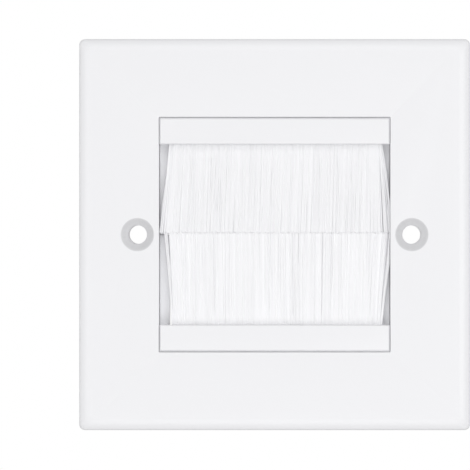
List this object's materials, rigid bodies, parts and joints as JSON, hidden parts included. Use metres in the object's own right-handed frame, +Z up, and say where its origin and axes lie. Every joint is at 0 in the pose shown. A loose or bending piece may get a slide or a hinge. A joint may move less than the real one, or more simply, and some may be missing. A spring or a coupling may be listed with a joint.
{
  "type": "brush wall plate",
  "caption": "Square moulded wall plate with countersunk fixing holes and a central opening closed by two facing brushes that let cables pass.",
  "frame": {"origin": "midway between the two fixing holes, on the wall plane behind the plate", "axes": "+X right and +Z up as seen from the room, +Y into the wall, so the front faces -Y"},
  "size_m": [0.086, 0.0104, 0.086],
  "materials": {
    "plate_plastic": "polished white moulding",
    "carrier_plastic": "polished white moulding",
    "clamp_plastic": "satin white moulding",
    "filaments": "white nylon filaments",
    "galvanised_steel": "galvanised strip and wire"
  },
  "bodies": {
    "root": {"face_plate": "plate_plastic", "upper_carrier": "carrier_plastic", "lower_carrier": "carrier_plastic", "upper_channel": "galvanised_steel", "lower_channel": "galvanised_steel", "upper_core_wire": "galvanised_steel", "lower_core_wire": "galvanised_steel", "upper_clamp_bar": "clamp_plastic", "lower_clamp_bar": "clamp_plastic", "upper_bristles": "filaments", "lower_bristles": "filaments"}
  },
  "joints": []
}
